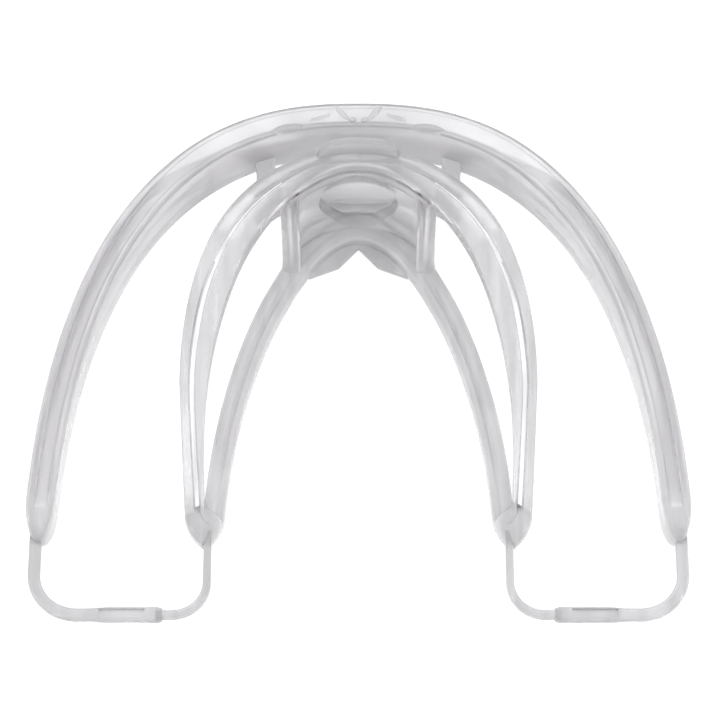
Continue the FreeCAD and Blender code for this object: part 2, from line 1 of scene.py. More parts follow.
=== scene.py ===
"""Looks of the cheek retractor: clear moulded plastic on a white table, seen from behind and above.

Lengths are millimetres until a mesh is made, and metres in the materials, the lights and the camera.
X is across the mouth, +Y towards the lips, +Z up.
"""
import bmesh
import bpy
import json
import numpy as np
from math import copysign, cos, pi, radians, sin, sqrt
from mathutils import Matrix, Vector


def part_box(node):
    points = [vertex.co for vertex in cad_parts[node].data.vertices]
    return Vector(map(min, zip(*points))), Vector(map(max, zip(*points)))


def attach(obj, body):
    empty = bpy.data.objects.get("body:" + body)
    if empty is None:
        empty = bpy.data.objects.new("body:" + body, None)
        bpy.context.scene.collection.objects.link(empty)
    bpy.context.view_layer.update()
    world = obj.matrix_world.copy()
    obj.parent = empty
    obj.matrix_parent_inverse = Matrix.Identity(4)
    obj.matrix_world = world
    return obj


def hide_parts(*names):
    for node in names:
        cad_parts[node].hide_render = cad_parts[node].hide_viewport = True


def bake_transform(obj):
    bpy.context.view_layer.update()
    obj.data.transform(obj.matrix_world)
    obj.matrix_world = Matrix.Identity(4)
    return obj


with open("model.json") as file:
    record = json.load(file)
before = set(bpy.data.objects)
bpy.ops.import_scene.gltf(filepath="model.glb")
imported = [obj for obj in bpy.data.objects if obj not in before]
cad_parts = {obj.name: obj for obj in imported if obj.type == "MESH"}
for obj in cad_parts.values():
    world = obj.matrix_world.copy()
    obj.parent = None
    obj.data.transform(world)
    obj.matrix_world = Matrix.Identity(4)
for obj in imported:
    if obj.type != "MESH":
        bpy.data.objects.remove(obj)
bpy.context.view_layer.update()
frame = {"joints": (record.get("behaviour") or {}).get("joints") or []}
MM = 0.001

# ---------------------------------------------------------------- places, from the frame


def box_mm(node):
    """A CAD node's lowest and highest corners, in millimetres."""
    low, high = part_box(node)
    return np.array(low) / MM, np.array(high) / MM


def joint_mm(name):
    """A joint's place, in millimetres."""
    joint = next(j for j in frame["joints"] if j["name"] == name)
    return np.array(joint["pos_m"]) / MM


BOW_HIGH = box_mm("lip_bow")[1]
FLANGE_HIGH = box_mm("upper_lip_flange")[1]
ARM_LOW, ARM_HIGH = box_mm("right_cheek_arm")
CROWN_HIGH = box_mm("guard_crown")[1]
RAIL_HIGH = box_mm("right_upper_rail")[1]
BAND_LOW, BAND_HIGH = box_mm("guard_lower_band")
LOWER_HIGH = box_mm("right_lower_rail")[1]
SKIRT_LOW, SKIRT_HIGH = box_mm("frenum_skirt")
WALL_LOW, WALL_HIGH = box_mm("guard_front_wall")
PLATE_LOW, PLATE_HIGH = box_mm("tongue_plate")
POST_LOW, POST_HIGH = box_mm("right_bite_post")
TIP_LOW, TIP_HIGH = box_mm("right_guard_tip")
SLEEVE_LOW, SLEEVE_HIGH = box_mm("right_strap_sleeve")
FLEX = joint_mm("right_arm_flex")
STRAP_ROOT = joint_mm("right_strap_swing")
TAIL_ROOT = joint_mm("right_tail_swing")

# ---------------------------------------------------------------- sizes that the scene adds

# The outer arch: a superellipse cut off at the tips. A larger fullness makes a squarer curve.
ARCH_HALF = 41.2
ARCH_DEPTH = 71.3
ARCH_FULLNESS = 2.45
ARM_WIDTH = 3.6
BOW_WIDTH = 3.8
BOW_WALL = 1.2
BOW_END_X = 20.5
# Lengths over which a tip's stations crowd together, its width tapers and its height tapers.
TIP_ROUND = 2.0
TIP_NOSE = 5.4
TIP_DOME = 3.6
TIP_DROP = 1.15
TIP_HALF_HEIGHT = ARM_HIGH[2] - TIP_DROP
# Where the bow's channel turns into the arm's bar, and where the arm's grooves start and end.
BAR_FROM_X = (18.0, 27.0)
GROOVE_FROM_X = (24.5, 29.5)
GROOVE_TO_TIP = (3.6, 7.5)
# Sizes of the section, in the bow and in the arm.
CHANNEL_DEPTHS = (BOW_WIDTH - BOW_WALL, 0.25)
FLANGE_HEIGHTS = (1.3, 2.2)
OUTER_RIMS = (0.9, 1.15)
INNER_RIMS = (0.7, 0.9)
EDGE_RADII = (0.4, 0.75)
# The groove on an arm's top is deeper on its outer side, and the one below is a shallow hollow.
OUTER_GROOVE = 1.1
INNER_GROOVE = 0.6
UNDER_GROOVE = 0.4

# The tongue guard's upper rail.
GUARD_HALF = 22.4
GUARD_FULLNESS = 2.25
GUARD_WIDEST_Y = -5.0
GUARD_INNER_FRONT_Y = 25.2
GUARD_INNER_WIDEST_Y = -12.0
GUARD_INNER_FULLNESS = 1.95
RAIL_WIDTH = 3.2
RAIL_TIP_WIDTH = 2.4
RAIL_DEPTH = 2.6
SLOPE_Y = 14.0
TIP_INSET = 1.0
TIP_OUTER = GUARD_HALF - TIP_INSET
TIP_Y = TIP_HIGH[1]
# Its slot grows from SLOT_START_Y to the tips: shares of that way, with insets and widths there.
SLOT_START_Y = 16.0
SLOT_INSETS = ((0, 0.1, 0.25, 0.5, 0.8), (2.15, 1.9, 1.6, 1.35, 1.2))
SLOT_WIDTHS = ((0, 0.1, 0.25, 0.8), (0.5, 0.8, 0.95, 0.85))
SLOT_DEPTHS = (0.35, 0.95)
SLOT_DEEPENS = (0.2, 0.45)
# Behind the crown the slot is a fine line, up to these distances from the middle.
CREASE_X = (4.0, 12.0)
CREASE_INSET = 1.6
CREASE_WIDTH = 0.28
CREASE_DEPTH = 0.5
# Its floor is clear from the tips to CLEAR_TO_Y. From there to the next limit it carries a painted
# highlight, a whiter plastic. A face belongs to the floor, or to the underside below it, when it lies
# within FLOOR_REACH of its height.
CLEAR_TO_Y = 11.0
PAINTED_HIGHLIGHT_TO_Y = 22.5
FLOOR_REACH = 0.15

# Its lower rail.
LOWER_INSET = 3.0
LOWER_HALF = GUARD_HALF - LOWER_INSET
LOWER_FRONT_Y = 26.4
LOWER_BASE_Y = -25.0
LOWER_FULLNESS = 1.85
LOWER_INNER_FRONT_Y = 21.9
LOWER_INNER_FULLNESS = 1.8
LOWER_RAIL_WIDTH = 2.7

# Its front and tips: the crown's tab, the wall, the skirt, the plate with its struts and dish, the posts
# and the web that fills the fork of the rails.
TAB_HALF = 5.3
TAB_THICKNESS = 0.9
WALL_THICKNESS = 1.2
WALL_HALF_OUTER = 13.7
WALL_HALF_INNER = 13.3
SKIRT_HALF = 6.5
SKIRT_REACH = 2.5
NOTCH_HALF = 2.6
PLATE_THICKNESS = 1.1
PLATE_HALF = 8.9
PANEL_EDGE_X = (7.0, 7.5)
PANEL_DEPTH = 0.3
STRUT_FOOT = (8.7, 17.3)
STRUT_TOP = (8.9, 21.2)
STRUT_LEAN = 1.5
STRUT_HALF_X = 1.2
STRUT_HALF_Y = 1.1
POST_HALF_X = 1.2
TIP_WEB = 2.4
DISH_CENTRE = (0, 0, (PLATE_LOW[2] + PLATE_HIGH[2]) / 2)
DISH_RADIUS = 5.1
DISH_FLOOR_Y = 25.5
BOSS_FROM_Y = 23.9
DISH_OPEN_Y = 20.0
LENS_CHORD = 2.3

# The straps.
STRAP_BEND = 5.4
STRAP_WIDTH = 1.55
STRAP_HEIGHT = 1.15
LAP_WIDTHS = (1.5, 1.85)
LAP_HEIGHTS = (1.1, 1.45)
WINDOW_SPAN = (0.22, 0.8)
WINDOW_WIDTH = 1.15
WINDOW_HEIGHT = 0.9
WINDOW_RISE = 0.8
TAIL_BEND = 4.2
TAIL_WIDTHS = (0.95, 1.1)
TAIL_HEIGHT = 1.1
BACK_Y = (SLEEVE_LOW[1] + SLEEVE_HIGH[1]) / 2

# ---------------------------------------------------------------- lines in plan


class Edge:
    """Half a superellipse: x grows from 0 at the front to half_width at base_y, then runs on straight."""

    def __init__(self, half_width, front_y, base_y, fullness, end=None):
        self.half_width = half_width
        self.depth = front_y - base_y
        self.base_y = base_y
        self.power = 2.0 / fullness
        self.end = end

    def line(self, count=1200):
        """Dense points from the front to the end, with x and y columns."""
        angle = np.linspace(0, pi / 2, count)
        x = self.half_width * np.sin(angle) ** self.power
        y = self.base_y + self.depth * np.clip(np.cos(angle), 0, 1) ** self.power
        points = np.column_stack([x, y])
        if self.end is not None:
            share = np.linspace(0, 1, count // 3)[1:, None]
            points = np.vstack([points, points[-1] * (1 - share) + np.array(self.end) * share])
        return points


def lengths(points):
    """Distances along a polyline, from its start to each point."""
    steps = np.linalg.norm(np.diff(points, axis=0), axis=1)
    return np.concatenate([[0], np.cumsum(steps)])


def resample(points, at):
    """Points at the given distances along a polyline."""
    along = lengths(points)
    return np.column_stack([np.interp(at, along, points[:, i]) for i in range(points.shape[1])])


def upto_y(points, y):
    """The polyline cut where it first falls to y."""
    last = int(np.argmax(points[:, 1] <= y))
    return points[: last + 1]


def both_sides(half):
    """A line from the left end through the front to the right end, from its right half."""
    left = half[1:][::-1] * np.array([-1, 1])
    return np.vstack([left, half])


def smooth(low, high, value):
    """0 below low, 1 above high, and a soft step between."""
    share = np.clip((np.asarray(value, float) - low) / (high - low), 0, 1)
    return share * share * (3 - 2 * share)


def mix(a, b, share):
    return a + (b - a) * share


def within_x(line, limit):
    """The part of a line that lies within a distance from the middle plane."""
    return line[np.abs(line[:, 0]) <= limit]


def inset_line(edge, gap):
    """An edge's dense line moved inwards (or outwards where gap is negative), on both sides."""
    moved = Edge(edge.half_width - gap, edge.base_y + edge.depth - gap, edge.base_y, 2 / edge.power)
    return both_sides(moved.line())


# ---------------------------------------------------------------- meshes


def rounded(corners, radius, steps=4):
    """A closed (u, w) polygon with each corner turned into a small curve of fixed point count."""
    corners = np.asarray(corners, float)
    radii = np.broadcast_to(radius, (len(corners),))
    result = []
    for i, corner in enumerate(corners):
        before = corners[i - 1] - corner
        after = corners[(i + 1) % len(corners)] - corner
        back = np.linalg.norm(before)
        ahead = np.linalg.norm(after)
        start = corner + before / max(back, 1e-9) * min(radii[i], back * 0.45)
        finish = corner + after / max(ahead, 1e-9) * min(radii[i], ahead * 0.45)
        for step in range(steps + 1):
            share = step / steps
            result.append((1 - share) ** 2 * start + 2 * share * (1 - share) * corner + share**2 * finish)
    return np.array(result)


def new_object(name, vertices, faces):
    """A smooth-shaded object from vertices in millimetres."""
    mesh = bpy.data.meshes.new(name)
    mesh.from_pydata([tuple(v * MM) for v in vertices], [], faces)
    mesh.validate()
    obj = bpy.data.objects.new(name, mesh)
    bpy.context.scene.collection.objects.link(obj)
    for polygon in mesh.polygons:
        polygon.use_smooth = True
    fix_normals(obj)
    return obj


def fix_normals(obj):
    """Merge double points and turn every face outwards."""
    work = bmesh.new()
    work.from_mesh(obj.data)
    bmesh.ops.remove_doubles(work, verts=work.verts, dist=1e-7)
    bmesh.ops.recalc_face_normals(work, faces=work.faces)
    work.to_mesh(obj.data)
    work.free()


def loft(name, rings):
    """A closed solid through rings of 3-D points, each with the same count."""
    rings = np.asarray(rings, float)
    count, around = rings.shape[:2]
    vertices = rings.reshape(-1, 3)
    faces = []
    for i in range(count - 1):
        for j in range(around):
            k = (j + 1) % around
            faces.append((i * around + j, i * around + k, (i + 1) * around + k, (i + 1) * around + j))
    faces.append(tuple(range(around)))
    faces.append(tuple(range((count - 1) * around, count * around)))
    return new_object(name, vertices, faces)


def plan_rings(centres, outwards, sections):
    """Rings that stand upright on a plan line: u runs outwards and w runs up."""
    rings = []
    for centre, outward, section in zip(centres, outwards, sections):
        u = section[:, 0:1]
        xy = centre[None, :] + u * outward[None, :]
        rings.append(np.column_stack([xy, section[:, 1]]))
    return rings


def band_between(outer, inner, spacing):
    """Stations between two plan lines: centres, unit vectors outwards and half widths."""
    total = (lengths(outer)[-1] + lengths(inner)[-1]) / 2
    count = max(8, int(total / spacing))
    share = np.linspace(0, 1, count)
    out = resample(outer, share * lengths(outer)[-1])
    inn = resample(inner, share * lengths(inner)[-1])
    across = out - inn
    width = np.linalg.norm(across, axis=1)
    return (out + inn) / 2, across / width[:, None], width / 2


def union(target, *others, operation="UNION"):
    """Join solids into target with an exact boolean (or cut them from it), and delete the others."""
    for other in others:
        modifier = target.modifiers.new("join", "BOOLEAN")
        modifier.operation = operation
        modifier.solver = "EXACT"
        modifier.object = other
        depsgraph = bpy.context.evaluated_depsgraph_get()
        joined = bpy.data.meshes.new_from_object(target.evaluated_get(depsgraph))
        target.modifiers.clear()
        old = target.data
        target.data = joined
        bpy.data.meshes.remove(old)
        bpy.data.objects.remove(other, do_unlink=True)
    return target


def finish_surface(obj, angle=38):
    """Shade smoothly, with edges sharper than the angle left crisp."""
    for polygon in obj.data.polygons:
        polygon.use_smooth = True
    obj.data.set_sharp_from_angle(angle=radians(angle))


def open_seams(obj):
    """Take off the flat ends where two mouldings meet, so that light passes through the seam."""
    work = bmesh.new()
    work.from_mesh(obj.data)
    seam_reach = (BOW_END_X + 2) * MM
    flat_ends = [f for f in work.faces if len(f.verts) > 40 and abs(f.calc_center_median().x) < seam_reach]
    bmesh.ops.delete(work, geom=flat_ends, context="FACES_ONLY")
    work.to_mesh(obj.data)
    work.free()


# ---------------------------------------------------------------- outer arch
ARCH_BASE_Y = FLANGE_HIGH[1] - ARCH_DEPTH
arch_outer = Edge(ARCH_HALF, FLANGE_HIGH[1], ARCH_BASE_Y, ARCH_FULLNESS)
arch_inner = Edge(ARCH_HALF - ARM_WIDTH, FLANGE_HIGH[1] - BOW_WIDTH, ARCH_BASE_Y, ARCH_FULLNESS)
ARCH_EDGE_LINES = (both_sides(arch_outer.line(3000)), both_sides(arch_inner.line(3000)))


def arch_stations(spacing=0.7):
    """Centres along the arch, unit vectors outwards and distances to the nearer tip."""
    outer = both_sides(upto_y(arch_outer.line(), ARM_LOW[1]))
    inner = both_sides(upto_y(arch_inner.line(), ARM_LOW[1]))
    share = np.linspace(0, 1, 1500)
    middle = (resample(outer, share * lengths(outer)[-1]) + resample(inner, share * lengths(inner)[-1])) / 2
    total = lengths(middle)[-1]
    nose = TIP_ROUND * (1 - np.cos(np.linspace(0.12, pi / 2, 12)))
    body = np.linspace(TIP_ROUND, total - TIP_ROUND, int(total / spacing))[1:-1]
    along = np.concatenate([nose, body, total - nose[::-1]])
    centres = resample(middle, along)
    ahead = resample(middle, np.minimum(along + 0.2, total))
    behind = resample(middle, np.maximum(along - 0.2, 0))
    tangent = ahead - behind
    tangent /= np.linalg.norm(tangent, axis=1)[:, None]
    outward = np.column_stack([-tangent[:, 1], tangent[:, 0]])
    return centres, outward, np.minimum(along, total - along)


def edge_offsets(centre, outward):
    """How far out from a station's centre the arch's outer and inner edges lie."""
    tangent = np.array([-outward[1], outward[0]])
    offsets = []
    for line in ARCH_EDGE_LINES:
        relative = line - centre
        on_other_side = np.linalg.norm(relative, axis=1) > 12
        near = np.argmin(np.abs(relative @ tangent) + 100 * on_other_side)
        offsets.append(relative[near] @ outward)
    return offsets


def arch_section(x, half, top, to_tip):
    """The channel of the bow far from the tips, turning into the grooved bar of an arm."""
    arm = float(smooth(*BAR_FROM_X, abs(x)))
    groove = float(smooth(*GROOVE_FROM_X, abs(x)) * smooth(*GROOVE_TO_TIP, to_tip))
    channel = mix(*CHANNEL_DEPTHS, arm)
    flange = mix(*FLANGE_HEIGHTS, arm)
    rim_out = mix(*OUTER_RIMS, arm)
    rim_in = mix(*INNER_RIMS, arm)
    deep = 0.04 + OUTER_GROOVE * groove
    shallow = 0.03 + INNER_GROOVE * groove
    hollow = 0.03 + UNDER_GROOVE * groove
    corners = [
        (-half, -top),
        (-half, top),
        (-half + rim_in, top),
        (-half + rim_in, top - shallow),
        (half - rim_out, top - deep),
        (half - rim_out, top),
        (half, top),
        (half, top - flange),
        (half - channel, top - flange),
        (half - channel, -top + flange),
        (half, -top + flange),
        (half, -top),
        (half - rim_out, -top),
        (half - rim_out, -top + hollow),
        (-half + rim_in, -top + hollow),
        (-half + rim_in, -top),
    ]
    edge = mix(*EDGE_RADII, arm)
    fine = 0.3
    radii = [edge, edge, fine, fine, fine, fine, edge, fine, fine, fine, fine, edge, fine, fine, fine, fine]
    return rounded(corners, radii)


def taper(distance, length, power):
    """From 0 at a tip to 1 where the distance from it reaches the length, round like a nose."""
    return sqrt(max(0.0, 1 - (1 - min(distance, length) / length) ** power))


def make_arch():
    """Rings of the whole arch from the left tip to the right one, and its centres."""
    stations, outwards, to_tip = arch_stations()
    sections = []
    centres = []
    for station, outward, distance in zip(stations, outwards, to_tip):
        out, inn = edge_offsets(station, outward)
        half = (out - inn) / 2
        centre = station + outward * (out + inn) / 2
        slope = np.clip((FLEX[1] - centre[1]) / (FLEX[1] - ARM_LOW[1]), 0, 1)
        height = mix(BOW_HIGH[2], TIP_HALF_HEIGHT, slope)
        section = arch_section(centre[0], half, height, distance)
        section[:, 0] *= taper(distance, TIP_NOSE, 2.1)
        section[:, 1] *= taper(distance, TIP_DOME, 2) ** 0.8
        centres.append(centre)
        sections.append(section)
    return np.array(plan_rings(centres, outwards, sections)), np.array(centres)


arch_rings, arch_line = make_arch()
bow_first = int(np.argmax(arch_line[:, 0] >= -BOW_END_X))
bow_last = len(arch_line) - 1 - bow_first
bow = loft("lip_bow_moulding", arch_rings[bow_first : bow_last + 1])
left_arm = loft("left_cheek_arm_moulding", arch_rings[: bow_first + 1])
right_arm = loft("right_cheek_arm_moulding", arch_rings[bow_last:])

# ---------------------------------------------------------------- tongue guard
guard_outer = Edge(GUARD_HALF, CROWN_HIGH[1], GUARD_WIDEST_Y, GUARD_FULLNESS, (TIP_OUTER, TIP_Y))
guard_inner = Edge(
    GUARD_HALF - RAIL_WIDTH, GUARD_INNER_FRONT_Y, GUARD_INNER_WIDEST_Y, GUARD_INNER_FULLNESS,
    (TIP_OUTER - RAIL_TIP_WIDTH, TIP_Y),
)
lower_outer = Edge(LOWER_HALF, LOWER_FRONT_Y, LOWER_BASE_Y, LOWER_FULLNESS)
lower_inner = Edge(LOWER_HALF - LOWER_RAIL_WIDTH, LOWER_INNER_FRONT_Y, LOWER_BASE_Y, LOWER_INNER_FULLNESS)


def rail_height(y, front, tip):
    """Height along a rail that is level at the front and slopes to the tip."""
    share = np.clip((SLOPE_Y - y) / (SLOPE_Y - TIP_Y), 0, 1)
    return mix(front, tip, share)


def narrowed(section, past):
    """A rail's section drawn in a little where it is past the start of the tip, so the nose holds it."""
    scale = 1 - 0.2 * float(smooth(0, 2.0, past))
    middle = (section.max(axis=0) + section.min(axis=0)) / 2
    return middle + (section - middle) * scale


def slot_place(x, y):
    """How far the slot lies in from the rail's outer side, its width and its depth."""
    along = np.clip((SLOT_START_Y - y) / (SLOT_START_Y - TIP_Y), 0, 1)
    front = float(1 - smooth(*CREASE_X, x))
    inset = mix(float(np.interp(along, *SLOT_INSETS)), CREASE_INSET, front)
    width = mix(float(np.interp(along, *SLOT_WIDTHS)), CREASE_WIDTH, front)
    deep = mix(*SLOT_DEPTHS, float(smooth(*SLOT_DEEPENS, along)))
    return inset, width, mix(deep, CREASE_DEPTH, front)


def dress_slot(obj, clear, painted_highlight):
    """Give the slot's floor a clearer plastic, above and below, and give its shallow start a painted
    highlight: a whiter, cloudier plastic that stands in for the light the slot catches.
    """
    obj.data.materials.append(clear)
    obj.data.materials.append(painted_highlight)
    clear_index, painted_highlight_index = 1, 2
    line = guard_outer.line()
    for polygon in obj.data.polygons:
        x, y, z = np.array(polygon.center) / MM
        if not TIP_Y < y < PAINTED_HIGHLIGHT_TO_Y:
            continue
        level = rail_height(y, RAIL_HIGH[2], TIP_HIGH[2])
        inset, width, deep = slot_place(abs(x), y)
        away = np.min(np.hypot(line[:, 0] - abs(x), line[:, 1] - y))
        if not inset + 0.1 < away < inset + width - 0.1:
            continue
        if abs(z - level + deep) < FLOOR_REACH:
            # Floor faces short of CLEAR_TO_Y get the clear plastic. The rest get the painted highlight.
            polygon.material_index = clear_index if y < CLEAR_TO_Y else painted_highlight_index
        elif abs(z - level + RAIL_DEPTH) < FLOOR_REACH and y < CLEAR_TO_Y + RAIL_DEPTH:
            polygon.material_index = clear_index


def upper_rail():
    """The slotted rail: an outer rim, a shallow slot and an inner rim, run on into the tips."""
    ends = np.array([[TIP_OUTER - 0.2, TIP_Y - 0.5], [TIP_OUTER - 0.75, TIP_Y - 1.2]])
    outer = both_sides(np.vstack([guard_outer.line(), ends]))
    inner = both_sides(np.vstack([guard_inner.line(), ends - (RAIL_TIP_WIDTH, 0)]))
    centres, outwards, halves = band_between(outer, inner, 0.6)
    sections = []
    for centre, half in zip(centres, halves):
        x, y = centre
        level = rail_height(y, RAIL_HIGH[2], TIP_HIGH[2]) - 0.35 * max(0.0, TIP_Y - y)
        under = level - RAIL_DEPTH
        rim_out, slot, deep = slot_place(abs(x), y)
        slot = max(0.3, min(slot, 2 * half - rim_out - 0.45))
        fade = float(smooth(TIP_Y - 0.4, TIP_Y + 0.6, y))
        deep = mix(0.1, deep, fade)
        rim_in = 2 * half - rim_out - slot
        corners = [
            (half - rim_out, under),
            (-half + rim_in, under),
            (-half, under),
            (-half, level - 0.15),
            (-half + rim_in, level),
            (-half + rim_in + 0.08, level - deep),
            (-half + rim_in + slot - 0.08, level - deep),
            (-half + rim_in + slot, level),
            (half, level),
            (half, under),
        ]
        section = rounded(corners, [0.05, 0.05, 0.4, 0.45, 0.18, 0.1, 0.1, 0.25, 0.55, 0.6])
        sections.append(narrowed(section, TIP_Y - 0.3 - y))
    return loft("upper_rail_form", plan_rings(centres, outwards, sections))


def crown_tab():
    """The arched tab on the front of the outer rim."""
    outer = within_x(both_sides(guard_outer.line()), TAB_HALF)
    inner = within_x(inset_line(guard_outer, TAB_THICKNESS), TAB_HALF)
    centres, outwards, halves = band_between(outer, inner, 0.3)
    sections = []
    for centre, half in zip(centres, halves):
        share = min(1.0, abs(centre[0]) / TAB_HALF)
        rise = (CROWN_HIGH[2] - RAIL_HIGH[2] + 0.1) * (1 - share**3.2) ** 0.55
        foot = RAIL_HIGH[2] - 0.9
        top = RAIL_HIGH[2] - 0.1 + rise
        corners = [(-half - 0.1, foot), (-half, top - 0.1), (half, top), (half, foot)]
        sections.append(rounded(corners, [0.1, 0.3, 0.3, 0.1]))
    return loft("crown_tab_form", plan_rings(centres, outwards, sections))


def lower_rail():
    """The plain lower rail, with a crease along its top that fades at the front and the tips."""
    ends = np.array([[LOWER_HALF, TIP_Y - 0.3], [LOWER_HALF - 0.3, TIP_Y - 1.4]])
    outer = both_sides(np.vstack([upto_y(lower_outer.line(), TIP_Y + 0.8), ends]))
    ends = ends - (LOWER_RAIL_WIDTH, 0) + np.array([[0.15, 0], [1.2, 0]])
    inner = both_sides(np.vstack([upto_y(lower_inner.line(), TIP_Y + 0.8), ends]))
    centres, outwards, halves = band_between(outer, inner, 0.6)
    sections = []
    for centre, half in zip(centres, halves):
        y = centre[1]
        top = rail_height(y, BAND_HIGH[2], LOWER_HIGH[2])
        under = top - (BAND_HIGH[2] - BAND_LOW[2])
        crease = 0.12 + 0.5 * float(smooth(-18.0, -10.0, y) * (1 - smooth(12.0, 17.0, y)))
        corners = [
            (-half, under),
            (-half, top - 0.35),
            (-half * 0.45, top),
            (-half * 0.2, top - crease),
            (half * 0.15, top),
            (half, top - 0.25),
            (half, under + 0.3),
        ]
        section = rounded(corners, [0.5, 0.45, 0.3, 0.3, 0.5, 0.6, 0.6])
        sections.append(narrowed(section, TIP_Y - 0.3 - y))
    return loft("lower_rail_form", plan_rings(centres, outwards, sections))


def skirt():
    """The thin shelf inside the lower front, with its V notch and turned-down corners."""
    edge = within_x(both_sides(lower_inner.line()), SKIRT_HALF)
    xs = np.linspace(-SKIRT_HALF, SKIRT_HALF, 61)
    back = np.interp(xs, edge[:, 0], edge[:, 1])
    corner_y = float(np.interp(NOTCH_HALF, edge[:, 0], edge[:, 1])) - SKIRT_REACH
    apex_y = float(edge[:, 1].max()) - 0.5
    low = SKIRT_LOW[2]
    high = SKIRT_HIGH[2]
    rings = []
    for x, y_back in zip(xs, back):
        far = abs(x)
        if far < NOTCH_HALF:
            y_front = mix(apex_y, corner_y, far / NOTCH_HALF)
        else:
            y_front = mix(corner_y, back[-1] - 0.05, (far - NOTCH_HALF) / (SKIRT_HALF - NOTCH_HALF))
        corners = [
            (y_front, low + 0.05),
            (y_front + 0.05, high - 0.35),
            (y_back + 0.5, high),
            (y_back + 0.5, low),
        ]
        section = rounded(corners, [0.25, 0.3, 0.1, 0.1])
        rings.append(np.column_stack([np.full(len(section), x), section[:, 0], section[:, 1]]))
    return loft("skirt_form", rings)


def front_wall():
    """The wall under the crown, whose lower edge rises to the posts at its ends."""
    outer = within_x(both_sides(guard_outer.line()), WALL_HALF_OUTER)
    inner = within_x(inset_line(guard_outer, WALL_THICKNESS), WALL_HALF_INNER)
    centres, outwards, halves = band_between(outer, inner, 0.6)
    high = WALL_HIGH[2] + 0.6
    sections = []
    for centre, half in zip(centres, halves):
        low = mix(WALL_LOW[2], POST_LOW[2] - 0.2, float(smooth(8.6, 10.2, abs(centre[0]))))
        corners = [(-half, low), (-half, high), (half * 0.9, high), (half * 0.9, low)]
        sections.append(rounded(corners, [0.4, 0.1, 0.1, 0.4]))
    return loft("front_wall_form", plan_rings(centres, outwards, sections))


def tongue_plate():
    """The curved plate, a little proud of its sunk panel, with a swept foot on the lower band."""
    outer = within_x(inset_line(guard_inner, -PLATE_THICKNESS), PLATE_HALF)
    inner = within_x(both_sides(guard_inner.line()), PLATE_HALF)
    centres, outwards, halves = band_between(outer, inner, 0.35)
    low = PLATE_LOW[2] - 0.6
    high = PLATE_HIGH[2] + 0.9
    sections = []
    for centre, half in zip(centres, halves):
        panel = PANEL_DEPTH * float(1 - smooth(*PANEL_EDGE_X, abs(centre[0])))
        face = -half - 0.3
        corners = [
            (face - 1.5, low),
            (face - 1.45, low + 0.9),
            (face - 0.7, low + 1.5),
            (face + panel, low + 2.6),
            (face + panel, high - 2.0),
            (face - 0.1, high - 1.4),
            (face - 0.2, high),
            (half, high),
            (half, low),
        ]
        sections.append(rounded(corners, [0.2, 0.5, 0.4, 0.7, 0.5, 0.4, 0.2, 0.1, 0.1]))
    return loft("plate_form", plan_rings(centres, outwards, sections))


def turned(name, profile, centre, around=64):
    """A solid of revolution about the Y axis through centre: profile holds (radius, y) pairs."""
    angles = np.linspace(0, 2 * pi, around, endpoint=False)
    rings = []
    for radius, y in profile:
        radius = max(radius, 0.02)
        across = centre[0] + radius * np.cos(angles)
        rings.append(np.column_stack([across, np.full(around, y), centre[2] + radius * np.sin(angles)]))
    return loft(name, rings)


def dish_boss():
    """The round boss behind the plate that the dish's flat floor needs."""
    radius = DISH_RADIUS + 0.3
    back = DISH_FLOOR_Y + 0.9
    profile = [(0.0, back), (radius - 0.2, back), (radius, back - 0.2)]
    profile += [(radius, BOSS_FROM_Y), (0.0, BOSS_FROM_Y)]
    return turned("dish_boss_form", profile, DISH_CENTRE)


def dish_recess():
    """What is taken away for the dish: a flat floor with a rounded rim that opens to the tongue."""
    radius = DISH_RADIUS
    profile = [(0.0, DISH_FLOOR_Y), (radius - 0.5, DISH_FLOOR_Y), (radius - 0.12, DISH_FLOOR_Y - 0.15)]
    profile += [(radius, DISH_FLOOR_Y - 0.5), (radius + 0.1, DISH_OPEN_Y + 2.0)]
    profile += [(radius + 0.5, DISH_OPEN_Y), (0.0, DISH_OPEN_Y)]
    return turned("dish_recess_form", profile, DISH_CENTRE)


def dish_lens():
    """A low lens-shaped swelling in the lower third of the dish, with a dip on each side of its middle."""
    rings = []
    limit = sqrt(DISH_RADIUS**2 - LENS_CHORD**2) - 0.5
    for x in np.linspace(-limit, limit, 41):
        low = -sqrt(max(DISH_RADIUS**2 - x**2, 0)) + 0.35
        high = -LENS_CHORD - 0.35 * cos(x / limit * pi / 2)
        tall = max(high - low, 0.06)
        middle = (high + low) / 2
        proud = 0.55 * min(1.0, tall / 1.6) * (1 - 0.35 * cos(x / limit * 2 * pi))
        angles = np.linspace(0, 2 * pi, 20, endpoint=False)
        y = DISH_FLOOR_Y + 0.05 - proud * np.cos(angles)
        z = DISH_CENTRE[2] + middle + tall / 2 * np.sin(angles)
        rings.append(np.column_stack([np.full(len(angles), x), y, z]))
    return loft("dish_lens_form", rings)


def strut(side):
    """A broad rounded column beside the plate, with a slim rib along its inner edge."""
    rings = []
    low = BAND_HIGH[2] - 0.8
    high = PLATE_HIGH[2] + 0.9
    for share in np.linspace(0, 1, 26):
        z = mix(low, high, share)
        y = mix(STRUT_FOOT[1], STRUT_TOP[1], share) + STRUT_LEAN * float(smooth(0.78, 1.0, share))
        flare = (abs(share - 0.5) * 2) ** 6
        half_x = STRUT_HALF_X + 0.15 * flare
        half_y = STRUT_HALF_Y + 0.3 * flare
        corners = [
            (-half_x, -half_y * 0.5),
            (-half_x * 0.75, -half_y),
            (-half_x * 0.45, -half_y * 0.75),
            (half_x * 0.3, -half_y * 1.05),
            (half_x, -half_y * 0.2),
            (half_x, half_y * 0.8),
            (-half_x, half_y * 1.2),
        ]
        section = rounded(corners, [0.2, 0.15, 0.2, 0.5, 0.5, 0.4, 0.4])
        x = side * (mix(STRUT_FOOT[0], STRUT_TOP[0], share) + section[:, 0])
        rings.append(np.column_stack([x, y + section[:, 1], np.full(len(section), z)]))
    return loft("strut_form", rings)


